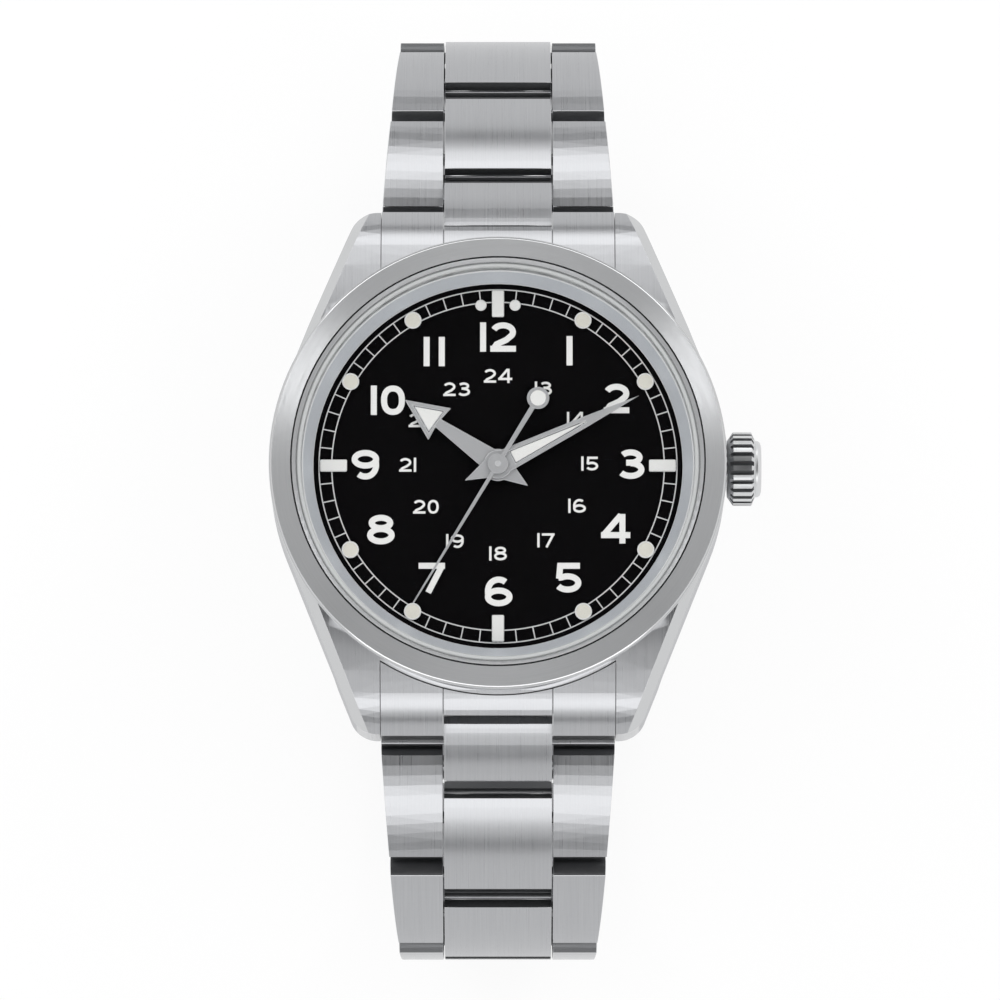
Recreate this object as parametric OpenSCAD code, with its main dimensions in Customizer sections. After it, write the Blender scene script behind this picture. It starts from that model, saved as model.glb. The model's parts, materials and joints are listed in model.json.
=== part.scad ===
/* [Case] */
// Diameter of the middle case and of the bezel
case_d = 38.8; // [38.6:0.1:39.2]
// Distance from lug tip to lug tip
lug_to_lug = 45; // [44.8:0.1:45.4]
// Gap between two lugs, which takes the bracelet
lug_gap = 20; // [19.9:0.05:20.1]
// Width over two lugs at their tips
lug_span = 25.6; // [25.2:0.1:26]
// Radius of the tight curve at the lug tips
lug_curve_r = 8; // [7.5:0.25:8.5]

/* [Dial and hands] */
// Length of the hour hand
hour_hand_l = 9.7; // [9:0.1:10]
// Length of the minute hand
minute_hand_l = 13.4; // [13:0.1:13.8]
// Length of the long end of the seconds hand
seconds_hand_l = 13.9; // [13.4:0.1:14.2]
// Time shown, in hours on the twelve hour dial
shown_hours = 10.177; // [0:0.001:12]
// Angle of the seconds hand from twelve
seconds_angle = 211; // [0:1:359]

/* [Crown] */
// Diameter over the flutes
crown_d = 6.2; // [5.8:0.1:6.6]
// Number of flutes
crown_flutes = 24; // [20:1:28]

/* [Bracelet] */
// Distance between two link hinges
link_pitch = 10.6; // [10.2:0.1:10.9]
// Width of the bracelet at the lugs
strap_w_lug = 19.7; // [19.4:0.05:19.8]
// Width of the bracelet at the clasp
strap_w_clasp = 16; // [15.6:0.1:16.4]
// Width of the centre pieces
centre_w = 9.2; // [8.8:0.1:9.4]

/* [Clasp] */
// Width of the clasp cover
clasp_w = 16.8; // [16.6:0.1:17.4]
// Height of the cover's side walls
clasp_h = 4.4; // [4.2:0.1:5]

/* [Hidden] */
$fn = 96;
steel = "#c4c6c8";
brass = "#c9a24c";
lume = "#e6e4d6";
eps = 0.01;
// Clearances: a pin fixed in its hole, a pin that turns in its hole, and faces that slide
fixed_fit = 0.02;
turning_fit = 0.04;
face_gap = 0.12;

// Case heights, measured from the face of the dial
case_r = case_d / 2;
middle_top = 1.4;
middle_bottom = -6.2;
lug_bottom = -7.8;
back_bottom = -8.2;
bezel_top = 2.9;
crystal_top = 3.1;
crystal_bottom = 1.5;
bezel_fall = 0.65;
lug_tip_y = lug_to_lug / 2;
// The top of the lugs leaves the flat here, at this fall in degrees, and bends down near the tips
lug_start_y = 12;
lug_start_fall = 16;
lug_bend_y = lug_tip_y - 3.2;
lug_bend_fall = 21.5;
// The outer edge of a lug is a tangent to the round case and ends in an arc at the tip
lug_corner_r = 2.4;
lug_corner_y = lug_tip_y - 2.3;
lug_lean = atan2(lug_corner_y, lug_span / 2) - acos(case_r / norm([lug_span / 2, lug_corner_y]));
lug_out = [cos(lug_lean), sin(lug_lean)];
// Polished edge along the outside of the lugs: its drop, and its side view in a plane tipped outward
lug_edge_w = 0.8;
lug_edge_tip = atan(cos(lug_lean));
lug_edge_rise = sin(lug_lean) * cos(lug_edge_tip);
lug_edge_top = (case_r - lug_start_y * lug_out[1]) / lug_out[0] * sin(lug_edge_tip)
    + (middle_top - lug_edge_w) * cos(lug_edge_tip);
lug_edge_curve_r = lug_curve_r * 1.5;
function lug_edge_fall(fall) = atan(cos(lug_edge_tip) * tan(fall) + lug_edge_rise);
opening_r = case_r - 2.35;
crystal_r = opening_r - 0.4;
dial_r = opening_r - 1.15;
dial_t = 0.4;
sight_r = dial_r - 0.25;
seat_r = opening_r + 0.2;
gasket_r = opening_r - 0.65;
// Opening in the case back, and the wider seat of its window
view_r = dial_r - 3.3;
view_seat_r = view_r + 1;
movement_r = 12.8;
plate_top = -1.25;
plate_bottom = -2;
bridge_top = -4.25;
bridge_bottom = -4.75;
// Lower face of each wheel and pinion of the movement
barrel_z = -3.3;
centre_wheel_z = -3.65;
centre_pinion_z = -3.42;
third_wheel_z = -3.96;
third_pinion_z = -3.8;
fourth_wheel_z = -4.16;
fourth_pinion_z = -4.02;
escape_wheel_z = -2.6;
escape_pinion_z = -4.2;
balance_z = -3.3;
hairspring_z = -3.8;
ratchet_z = -4.95;
crown_wheel_z = -3;
minute_wheel_z = -1.2;
minute_pinion_z = -1.01;
hour_wheel_z = -1;
rotor_z = -5.4;
// Upper ends of the shafts in the mainplate, and their lower ends in the bridges
shaft_top = -1.3;
shaft_bottom = bridge_bottom + 0.05;
shaft_hole_r = 0.36;
screw_hole_r = 0.32;

// Spring bars between the lugs
bar_y = max(lug_tip_y - 2, case_r + 1.1);
bar_z = -6.4;

// Fall of the end links and of the first three links on each side, in degrees below the horizontal
end_fall = 32.5;
first_falls_12 = [31.5, 50, 94.5];
first_falls_6 = [33.5, 63.5, 101];
// First hinge of the bracelet, measured from the hand axis and the face of the dial
end_pin = [bar_y + 3.6, -8.5];
// Pins at the two ends of the clasp. The clasp sits a little toward twelve
clasp_pin_y = end_pin[0] - 3.15;
clasp_shift = 1.6;
clasp_drop = 45.3;
barrel_r = 1.5;
pin_r = 0.5;
link_back = 2.4;
centre_back = 2.6;
bead = 0.35;
link_top = 2.1;
link_bottom = -1.4;
link_curve_r = 20;
tongue_curve_r = 18;
function hinge(falls, n) = n == 0 ? end_pin
    : hinge(falls, n - 1) + link_pitch * [cos(falls[n - 1]), -sin(falls[n - 1])];
// The last two links bend so that they reach the clasp
function closed(falls, pin) =
    let (reach = pin - hinge(falls, 3), bend = acos(norm(reach) / 2 / link_pitch),
        line = atan2(-reach[1], reach[0]))
    concat(falls, [line - bend, line + bend]);
falls_12 = closed(first_falls_12, [clasp_pin_y + clasp_shift, -clasp_drop]);
falls_6 = closed(first_falls_6, [clasp_pin_y - clasp_shift, -clasp_drop]);
clasp_pin_z = 1.9;
cover_t = 1;
blade_pin_y = clasp_pin_y - 7.5;
blade_pin_z = 2.6;
blade_w = 10;
button_y = 6.5;
// Height of the dial's face above the floor that the clasp stands on
dial_z = clasp_pin_z + clasp_drop;
strap_taper = (strap_w_lug - strap_w_clasp) / 2 / (2.6 * link_pitch);
function half_w(s) = max(strap_w_clasp / 2, strap_w_lug / 2 - strap_taper * s);

// Wheel centres in the movement, from the hand axis
barrel_at = 6.72 * [cos(60), sin(60)];
third_at = 4.5 * [cos(-60), sin(-60)];
escape_at = 4.5 * [cos(-125), sin(-125)];
pallet_at = escape_at + 2.6 * [cos(-150), sin(-150)];
balance_at = [-8.1, -3.2];
minute_at = 3.2 * [cos(-30), sin(-30)];
crown_wheel_at = [barrel_at[0] + 5.12, 0];
cock_foot_at = 11.6 * [cos(240), sin(240)];
barrel_post_angles = [12, 100, 160];
train_post_angles = [285, 325];
post_at_r = 11.7;
stem_z = -1.7;
hand_hours_angle = shown_hours * 30;
hand_minutes_angle = (shown_hours - floor(shown_hours)) * 360;

module at_dial() { translate([0, 0, dial_z]) children(); }
module slab(r, z0, z1) { translate([0, 0, z0]) cylinder(r = r, h = z1 - z0); }
module ring(r0, r1, z0, z1) {
    difference() {
        slab(r1, z0, z1);
        slab(r0, z0 - 1, z1 + 1);
    }
}
// Extrudes an outline drawn in y and z along x, from x0 to x1
module across(x0, x1) {
    translate([x0, 0, 0]) rotate([90, 0, 90]) linear_extrude(x1 - x0) children();
}
module pin_x(r, x0, x1) { translate([x0, 0, 0]) rotate([0, 90, 0]) cylinder(r = r, h = x1 - x0); }
// Turns a shape so that its +Y points at an angle clockwise from twelve
module clock(angle) { rotate(-angle) children(); }

// A toothed wheel: straight sided teeth, thinner at the tip
module gear(teeth, pitch_r, thick, bore, first = 0) {
    size = 2 * pitch_r / teeth;
    root = pitch_r - 1.1 * size;
    tip = pitch_r + 0.8 * size;
    step = 360 / teeth;
    difference() {
        linear_extrude(thick) polygon([for (i = [0:teeth - 1])
            for (c = [[root, -0.3], [tip, -0.1], [tip, 0.1], [root, 0.3]])
                c[0] * [cos(first + step * (i + c[1])), sin(first + step * (i + c[1]))]]);
        translate([0, 0, -1]) cylinder(r = bore, h = thick + 2);
    }
}
// A wheel with spokes left between round windows
module wheel(teeth, pitch_r, thick, bore, windows, first = 0) {
    difference() {
        gear(teeth, pitch_r, thick, bore, first);
        for (i = [1:windows])
            rotate(360 * i / windows) translate([pitch_r * 0.55, 0, -1])
                cylinder(r = pitch_r * 0.26, h = thick + 2, $fn = 48);
    }
}

module plan_outline() {
    corner_at = [(case_r - lug_corner_r - (lug_tip_y - lug_corner_r) * lug_out[1]) / lug_out[0],
        lug_tip_y - lug_corner_r];
    circle(r = case_r);
    difference() {
        for (m = [0, 1], n = [0, 1]) mirror([m, 0]) mirror([0, n]) {
            polygon([[0, 0], case_r * lug_out, corner_at + lug_corner_r * lug_out,
                corner_at + [0, lug_corner_r], [0, lug_tip_y]]);
            translate(corner_at) circle(r = lug_corner_r);
        }
        square([lug_gap, 2 * lug_tip_y + 2], center = true);
    }
}
// The side view of one half: a straight line that rises inward, the long curve of the top, then
// the tight curve at the tip
module lug_curves(top, start_fall, bend_fall, tight_r, rise) {
    deep = lug_bottom - 5;
    long_r = (lug_bend_y - lug_start_y) / (sin(bend_fall) - sin(start_fall));
    out = [sin(bend_fall), cos(bend_fall)];
    long_at = [lug_start_y, top] - long_r * [sin(start_fall), cos(start_fall)];
    tight_at = long_at + (long_r - tight_r) * out;
    intersection() {
        translate(long_at) circle(r = long_r, $fn = 720);
        polygon([[0, deep], [0, top + rise * lug_start_y], [lug_start_y, top],
            long_at + (long_r + 1) * out, tight_at, [tight_at[0], deep]]);
    }
    translate(tight_at) circle(r = tight_r, $fn = 200);
}
module top_curves(top) { lug_curves(top, lug_start_fall, lug_bend_fall, lug_curve_r, 0); }
module side_outline() {
    intersection() {
        for (m = [0, 1]) mirror([m, 0]) top_curves(middle_top);
        translate([-30, lug_bottom]) square([60, middle_top - lug_bottom]);
    }
}
// What the polished edge takes off two lugs on one side
module lug_edge_waste() {
    reach = lug_tip_y + 1;
    difference() {
        translate([-reach, lug_edge_top - 7.5]) square([2 * reach, 20]);
        for (m = [0, 1]) mirror([m, 0]) lug_curves(lug_edge_top, lug_edge_fall(lug_start_fall),
            lug_edge_fall(lug_bend_fall), lug_edge_curve_r, lug_edge_rise);
    }
}
module case() {
    color(steel) at_dial() difference() {
        union() {
            difference() {
                intersection() {
                    translate([0, 0, lug_bottom]) linear_extrude(middle_top - lug_bottom)
                        plan_outline();
                    across(-30, 30) side_outline();
                }
                for (m = [0, 1]) mirror([m, 0, 0]) rotate([0, lug_edge_tip, 0]) across(-30, 40)
                    lug_edge_waste();
            }
            slab(case_r - 0.3, middle_bottom, middle_top);
        }
        across(-30, 30) polygon([[0.7 - case_r, lug_bottom - 1], [2.1 - case_r, middle_bottom],
            [case_r - 2.1, middle_bottom], [case_r - 0.7, lug_bottom - 1]]);
        slab(dial_r + 0.1, middle_bottom - 1, middle_top + 1);
        slab(seat_r + 0.05, 0, middle_top + 1);
        ring(gasket_r, gasket_r + 0.7, middle_bottom - 1, middle_bottom + 0.5);
        translate([0, 0, stem_z]) pin_x(1.6 + fixed_fit, 10, 25);
        for (s = [-1, 1]) translate([0, s * bar_y, bar_z]) pin_x(0.45, -12, 12);
    }
}

module bezel() {
    color(steel) at_dial() rotate_extrude($fn = 180) polygon([
        [opening_r - 0.3, 0.35], [seat_r, 0.35], [seat_r, middle_top + 0.08],
        [case_r - 0.25, middle_top + 0.08],
        [case_r, middle_top + 0.3], [case_r, bezel_top - bezel_fall - 0.15],
        [case_r - 0.15, bezel_top - bezel_fall], [opening_r + 0.45, bezel_top],
        [opening_r, bezel_top - 0.25], [opening_r, crystal_bottom - 0.05],
        [opening_r - 0.3, crystal_bottom - 0.05]]);
}
module crystal() { color("#e8f0f4", 0.3) at_dial() slab(crystal_r, crystal_bottom, crystal_top); }
module crystal_gasket() {
    color("#c4c6c6") at_dial() ring(crystal_r, opening_r, crystal_bottom, bezel_top - 0.35);
}
module chapter_ring() {
    color("#8a8d90") at_dial() rotate_extrude($fn = 180) polygon([
        [sight_r, 0.02], [opening_r - 0.35, 0.02], [opening_r - 0.35, crystal_bottom - 0.08],
        [opening_r - 0.5, crystal_bottom - 0.08], [sight_r, 0.25]]);
}
module dial() {
    color("#101010") at_dial() difference() {
        slab(dial_r, -dial_t, 0);
        slab(1.15, -1, 1);
    }
}
module hour_markers() {
    color(lume) at_dial() {
        for (h = [1:11]) if (h % 3 != 0) clock(h * 30) translate([0, dial_r - 1.45, 0])
            slab(0.68, 0, 0.25);
        for (h = [0:3:9]) clock(h * 30) translate([-0.52, dial_r - 3.1, 0]) cube([1.04, 2.3, 0.3]);
        for (s = [-6, 6]) clock(s) translate([0, dial_r - 2, 0]) slab(0.48, 0, 0.25);
    }
}
module movement_ring() {
    color("#b8bcc0") at_dial() difference() {
        ring(movement_r + 0.1, dial_r - 0.05, -5, -dial_t - 0.02);
        translate([0, 0, stem_z]) pin_x(0.75, 10, 25);
    }
}
module case_back() {
    color(steel) at_dial() difference() {
        union() {
            slab(opening_r + 0.15, middle_bottom - 0.8, middle_bottom - 0.05);
            slab(opening_r - 1.05, back_bottom, middle_bottom - 0.05);
            ring(dial_r - 1.3, dial_r + 0.05, middle_bottom - 1, -5.1);
        }
        slab(view_r, back_bottom - 1, 0);
        slab(view_seat_r, middle_bottom - 0.9, 0);
        for (i = [1:6]) rotate(60 * i) translate([dial_r - 1.1, 0, back_bottom - 1])
            cylinder(r = 0.6, h = 1.6);
    }
}
module case_back_window() {
    color("#e8f0f4", 0.3) at_dial() {
        slab(view_r - 0.02, back_bottom + 0.15, middle_bottom - 0.9);
        slab(view_seat_r - 0.05, middle_bottom - 0.88, middle_bottom - 0.5);
    }
}
module case_back_gasket() {
    color("#202020") at_dial() 
        ring(gasket_r + 0.02, gasket_r + 0.68, middle_bottom - 0.02, middle_bottom + 0.45);
}
module crown_tube() {
    color(steel) at_dial() translate([0, 0, stem_z]) difference() {
        pin_x(1.6, dial_r + 0.2, case_r + 1.2);
        pin_x(0.75, dial_r - 1, 25);
    }
}
// The crown's skirt goes over the tube with room to spare
module crown() {
    first = case_r + 0.05;
    last = first + 2.4;
    crown_r = crown_d / 2;
    cap_r = crown_r - 0.7;
    flute_w = 1.1 * crown_d / crown_flutes + 0.1;
    color(steel) at_dial() translate([0, 0, stem_z]) difference() {
        union() {
            difference() {
                translate([first, 0, 0]) rotate([0, 90, 0]) rotate_extrude() polygon([
                    [0, 0], [cap_r, 0], [crown_r, 0.5], [crown_r, 2.05], [cap_r, 2.4], [0, 2.4]]);
                for (i = [1:crown_flutes]) rotate([360 * i / crown_flutes, 0, 0])
                    translate([first - 1, -flute_w / 2, crown_r - 0.4]) cube([4, flute_w, 2]);
            }
            translate([last - eps, 0, 0]) rotate([0, 90, 0]) rotate_extrude() polygon([
                [0, 0], [cap_r, 0], [cap_r, 0.2], [cap_r - 0.15, 0.4], [cap_r - 0.45, 0.5], [0, 0.5]]);
        }
        pin_x(1.7, first - 1, first + 1.9);
    }
}
module winding_stem() {
    color(steel) at_dial() translate([0, 0, stem_z]) {
        pin_x(0.6, 9.2, case_r + 1.95);
        pin_x(0.45, 7.6, 9.25);
    }
}
module winding_pinion() {
    color(steel) at_dial() translate([9.6, 0, stem_z]) rotate([0, 90, 0])
        gear(14, 0.95, 1.2, 0.6 + fixed_fit);
}

module hand_blade(points, z, t) { translate([0, 0, z]) linear_extrude(t) polygon(points); }
module hour_hand() {
    l = hour_hand_l;
    color("#a8aaac") at_dial() clock(hand_hours_angle) difference() {
        union() {
            hand_blade([[0, l], [1.68, l - 3.65], [0.42, l - 3.5], [0.95, 1], [1.2, 0], [0, -3.15],
                [-1.2, 0], [-0.95, 1], [-0.42, l - 3.5], [-1.68, l - 3.65]], 0.45, 0.16);
            slab(1.38, 0.45, 0.61);
            slab(0.95, -0.55, 0.5);
        }
        slab(0.72, -1, 1);
        hand_blade([[0, l - 0.9], [1.12, l - 3.3], [-1.12, l - 3.3]], 0.4, 0.4);
    }
    color(lume) at_dial() clock(hand_hours_angle)
        hand_blade([[0, l - 0.96], [1.07, l - 3.27], [-1.07, l - 3.27]], 0.45, 0.15);
}
module minute_hand() {
    l = minute_hand_l;
    window = [[0.58, 1.38], [0.08, l * 0.62], [-0.08, l * 0.62], [-0.58, 1.38]];
    color("#a8aaac") at_dial() clock(hand_minutes_angle) difference() {
        union() {
            hand_blade([[0, l], [0.46, l * 0.62], [0.98, 1], [1.06, -0.2], [0, -3.16], [-1.06, -0.2],
                [-0.98, 1], [-0.46, l * 0.62]], 0.75, 0.16);
            slab(1.22, 0.75, 0.91);
            slab(0.68, -0.3, 0.8);
        }
        slab(0.32, -1, 2);
        hand_blade(window, 0.7, 0.4);
    }
    color(lume) at_dial() clock(hand_minutes_angle) hand_blade([for (p = window)
        [p[0] - sign(p[0]) * 0.02, p[1] > 5 ? p[1] - 0.3 : p[1] + 0.02]], 0.75, 0.15);
}
module seconds_hand() {
    l = seconds_hand_l;
    disc_y = -6.6;
    color("#a8aaac") at_dial() clock(seconds_angle) difference() {
        union() {
            hand_blade([[-0.06, l], [0.06, l], [0.21, -5.7], [-0.21, -5.7]], 1.04, 0.12);
            slab(0.85, 1.04, 1.22);
            translate([0, disc_y, 0]) slab(0.94, 1.04, 1.18);
            slab(0.26, -0.6, 1.3);
        }
        translate([0, disc_y, 0]) slab(0.7, 1, 1.2);
    }
    color(lume) at_dial() clock(seconds_angle) translate([0, disc_y, 0]) slab(0.68, 1.04, 1.17);
}

module hole_at(at, r) { translate(concat(at, [-20])) cylinder(r = r, h = 40); }
module posts(angles, r, z0, z1) {
    for (a = angles) rotate(a) translate([post_at_r, 0, 0]) slab(r, z0, z1);
}
module mainplate() {
    all_posts = concat(barrel_post_angles, train_post_angles);
    color(brass) at_dial() difference() {
        union() {
            slab(movement_r, plate_bottom, plate_top);
            posts(all_posts, 0.75, bridge_top + 0.02, plate_bottom + eps);
        }
        slab(1.2, -9, 0);
        for (at = [barrel_at, third_at, escape_at, pallet_at, balance_at, minute_at])
            hole_at(at, shaft_hole_r);
        posts(all_posts, screw_hole_r, -9, plate_bottom - 0.2);
        translate([0, 0, stem_z]) pin_x(1.35, 7, 14);
    }
}
module barrel() {
    color(brass) at_dial() translate(concat(barrel_at, [0])) {
        translate([0, 0, barrel_z]) gear(72, 5.76, 0.31, 1, 0);
        ring(0.9, 5.2, barrel_z + 0.2, barrel_z + 1.15);
        slab(1.1, barrel_z + 0.05, barrel_z + 1.1);
    }
}
module centre_wheel() {
    color(brass) at_dial() difference() {
        union() {
            translate([0, 0, centre_wheel_z]) wheel(80, 4, 0.16, 0.3, 5);
            slab(0.8, centre_wheel_z - 0.05, centre_wheel_z + 0.25);
            translate([0, 0, centre_pinion_z]) gear(12, 0.96, 0.5, 0.3, 15);
            slab(0.6, -3, -0.35);
        }
        slab(0.3, -9, 3);
    }
}
module third_wheel() {
    color(brass) at_dial() translate(concat(third_at, [0])) {
        translate([0, 0, third_pinion_z]) gear(10, 0.5, 0.4, 0.15);
        translate([0, 0, third_wheel_z]) wheel(75, 3.97, 0.17, 0.15, 5);
        slab(0.2, shaft_bottom, shaft_top);
    }
}
module fourth_wheel() {
    color(brass) at_dial() {
        slab(0.24, shaft_bottom, -0.62);
        translate([0, 0, fourth_pinion_z]) gear(10, 0.53, 0.25, 0.15);
        translate([0, 0, fourth_wheel_z]) wheel(96, 4.15, 0.15, 0.15, 5);
    }
}
module escape_wheel() {
    color(steel) at_dial() translate(concat(escape_at, [0])) {
        translate([0, 0, escape_wheel_z]) gear(20, 1.9, 0.2, 0.1);
        translate([0, 0, escape_pinion_z]) gear(8, 0.34, 0.25, 0.1);
        slab(0.14, shaft_bottom, shaft_top);
    }
}
module pallet_fork() {
    away = pallet_at - escape_at;
    to_balance = balance_at - pallet_at;
    color(steel) at_dial() translate(concat(pallet_at, [0])) {
        rotate(atan2(to_balance[1], to_balance[0])) translate([-0.2, -0.15, escape_wheel_z])
            cube([1.6, 0.3, 0.2]);
        rotate(atan2(away[1], away[0]) + 90) translate([-1.2, -0.15, escape_wheel_z])
            cube([2.4, 0.3, 0.2]);
        slab(0.22, escape_wheel_z - 0.2, shaft_top);
    }
}
module balance_wheel() {
    color(brass) at_dial() translate(concat(balance_at, [0])) {
        ring(3.3, 3.9, balance_z, balance_z + 0.4);
        translate([-3.4, -0.3, balance_z + 0.05]) cube([6.8, 0.6, 0.25]);
        slab(0.22, bridge_top - 0.15, shaft_top);
        slab(0.6, balance_z - 0.2, balance_z + 0.2);
    }
}
// The spring's turns are rings, joined by a strip that runs out to the stud
module hairspring() {
    color("#30343c") at_dial() translate(concat(balance_at, [0])) {
        for (r = [1.1:0.3:2.3]) ring(r, r + 0.08, hairspring_z, hairspring_z + 0.2);
        translate([0.7, -0.05, hairspring_z]) cube([1.75, 0.1, 0.2]);
        ring(0.3, 0.8, hairspring_z - 0.05, hairspring_z + 0.25);
    }
}
module balance_cock() {
    reach = cock_foot_at - balance_at;
    color(steel) at_dial() difference() {
        union() {
            translate(concat(balance_at, [0])) slab(1.6, bridge_bottom, bridge_top);
            translate(concat(balance_at, [bridge_bottom])) rotate(atan2(reach[1], reach[0]))
                translate([0, -1.2, 0]) cube([norm(reach), 2.4, bridge_top - bridge_bottom]);
            translate(concat(cock_foot_at, [0])) slab(1.15, bridge_bottom, plate_bottom - 0.02);
        }
        hole_at(balance_at, 0.26);
        translate(concat(cock_foot_at, [0])) slab(screw_hole_r, -9, -2.4);
    }
}
module bridge(outline) {
    intersection() {
        slab(12.6, bridge_bottom, bridge_top);
        translate([0, 0, -10]) linear_extrude(20) polygon(outline);
    }
}
module train_bridge() {
    color(steel) at_dial() difference() {
        bridge([[-3.9, 1.85], [1.4, 1.1], [5.8, -2.7], [13, -2.7], [13, -13], [-4, -13], [-4, -6]]);
        hole_at([0, 0], 0.28);
        for (at = [third_at, escape_at]) hole_at(at, 0.24);
        hole_at(balance_at, 4.4);
        posts(train_post_angles, 0.34, -9, 0);
    }
}
module barrel_bridge() {
    color(steel) at_dial() difference() {
        bridge([[-13, 3.3], [1.5, 1.3], [6, -2.5], [13, -2.5], [13, 13], [-13, 13]]);
        hole_at(barrel_at, 0.86);
        hole_at(crown_wheel_at, 0.56);
        posts(barrel_post_angles, 0.34, -9, 0);
    }
}
module ratchet_wheel() {
    color(steel) at_dial() translate(concat(barrel_at, [0])) {
        translate([0, 0, ratchet_z]) gear(46, 5.75, 0.16, 0.5);
        slab(0.82, ratchet_z, barrel_z);
    }
}
module crown_wheel() {
    color(steel) at_dial() translate(concat(crown_wheel_at, [0])) {
        translate([0, 0, ratchet_z]) gear(16, 2, 0.16, 0.3);
        slab(0.52, ratchet_z + 0.05, crown_wheel_z + 0.1);
        translate([0, 0, crown_wheel_z]) gear(24, 1.6, 0.2, 0.3);
    }
}
module minute_wheel() {
    color(brass) at_dial() translate(concat(minute_at, [0])) {
        translate([0, 0, minute_wheel_z]) gear(30, 2.4, 0.2, 0.2);
        translate([0, 0, minute_pinion_z]) gear(8, 0.64, 0.25, 0.2);
        slab(0.3, minute_wheel_z - 0.4, minute_pinion_z + 0.26);
    }
}
module hour_wheel() {
    color(brass) at_dial() difference() {
        union() {
            translate([0, 0, hour_wheel_z]) wheel(32, 2.56, 0.22, 0.72, 4);
            slab(0.94, hour_wheel_z, -0.57);
        }
        slab(0.68, -9, 3);
    }
}
module rotor() {
    color("#9a9da0") at_dial() difference() {
        union() {
            slab(12.4, rotor_z, rotor_z + 0.25);
            ring(10.6, 12.4, rotor_z - 0.6, rotor_z + 0.2);
        }
        translate([-20, 0.9, -9]) cube([40, 20, 9]);
        for (x = [-5.6, 0, 5.6]) translate([x, -7.2 + abs(x) * 0.35, -9]) cylinder(r = 1.5, h = 9);
        slab(1.65, -9, 0);
    }
    color("#9a9da0") at_dial() ring(1.5 + turning_fit, 2.6, rotor_z - 0.2, rotor_z + 0.25);
}
module rotor_bearing() {
    color(steel) at_dial() difference() {
        union() {
            slab(1.5, rotor_z - 0.22, rotor_z + 0.38);
            slab(0.65, rotor_z + 0.37, bridge_bottom - 0.02);
            slab(2.1, rotor_z - 0.38, rotor_z - 0.23);
        }
        slab(0.28, -9, -4);
    }
}
module bridge_screws() {
    color("#4a5a9a") at_dial() {
        for (a = concat(barrel_post_angles, train_post_angles)) rotate(a) translate([post_at_r, 0, 0])
            screw(bridge_bottom - 0.02);
        translate(concat(cock_foot_at, [0])) screw(bridge_bottom - 0.02);
    }
}
module screw(head_z) {
    difference() {
        union() {
            slab(0.3, head_z - 0.05, -2.5);
            slab(0.62, head_z - 0.25, head_z);
        }
        translate([-1, -0.07, head_z - 0.4]) cube([2, 0.14, 0.25]);
    }
}
module spring_bars() {
    color(steel) at_dial() for (s = [-1, 1]) translate([0, s * bar_y, bar_z]) {
        pin_x(0.7, 0.2 - lug_gap / 2, lug_gap / 2 - 0.2);
        pin_x(0.4, -lug_gap / 2 - 1.3, lug_gap / 2 + 1.3);
    }
}

// Moves a shape to a hinge, with y along the link and z out of the bracelet
module at_hinge(falls, n) {
    at = hinge(falls, n);
    translate([0, at[0], dial_z + at[1]]) rotate([-falls[n], 0, 0]) children();
}
// Moves an outline of the end link to the first hinge, in the side view of the whole watch
module side_at_end() { translate(end_pin) rotate(-end_fall) children(); }
// Moves the clasp to its place under the watch
module at_clasp() { translate([0, clasp_shift, 0]) children(); }

// Everything under the curved top of a link and above its flat underside
module link_limit() {
    intersection() {
        translate([link_pitch / 2, link_top - link_curve_r]) circle(r = link_curve_r, $fn = 300);
        translate([-5, link_bottom]) square([link_pitch + 10, 5]);
    }
}
module outer_side() {
    intersection() {
        link_limit();
        union() {
            circle(r = barrel_r);
            translate([0, link_bottom]) square([link_pitch - link_back, 5]);
        }
    }
    translate([link_pitch - link_back, 0.7]) circle(r = bead);
}
module centre_side() {
    intersection() {
        link_limit();
        union() {
            translate([link_pitch, 0]) circle(r = barrel_r);
            translate([centre_back, link_bottom]) square([link_pitch - centre_back, 5]);
        }
    }
    translate([centre_back, 0.7]) circle(r = bead);
}
module outer_piece(side, s) {
    inner = centre_w / 2 + face_gap;
    corners = [[inner, -3], [half_w(s - 3), -3], [half_w(s + link_pitch), link_pitch],
        [inner, link_pitch]];
    difference() {
        intersection() {
            across(-12, 12) outer_side();
            translate([0, 0, -5]) linear_extrude(10)
                polygon([for (c = corners) [side * c[0], c[1]]]);
        }
        pin_x(pin_r + fixed_fit, -12, 12);
        translate([0, link_pitch / 2, 0.1]) pin_x(pin_r + fixed_fit, -12, 12);
    }
}
module link(falls, n) {
    s = n * link_pitch;
    recess = 0.3;
    color(steel) at_hinge(falls, n) {
        outer_piece(1, s);
        outer_piece(-1, s);
        difference() {
            across(-centre_w / 2, centre_w / 2) centre_side();
            translate([0, link_pitch, 0]) pin_x(pin_r + turning_fit, -12, 12);
            translate([0, link_pitch / 2, 0.1]) pin_x(pin_r + fixed_fit, -12, 12);
        }
        pin_x(pin_r, recess - half_w(s), half_w(s) - recess);
        translate([0, link_pitch / 2, 0.1])
            pin_x(pin_r, recess - half_w(s + 5), half_w(s + 5) - recess);
    }
}
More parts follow.
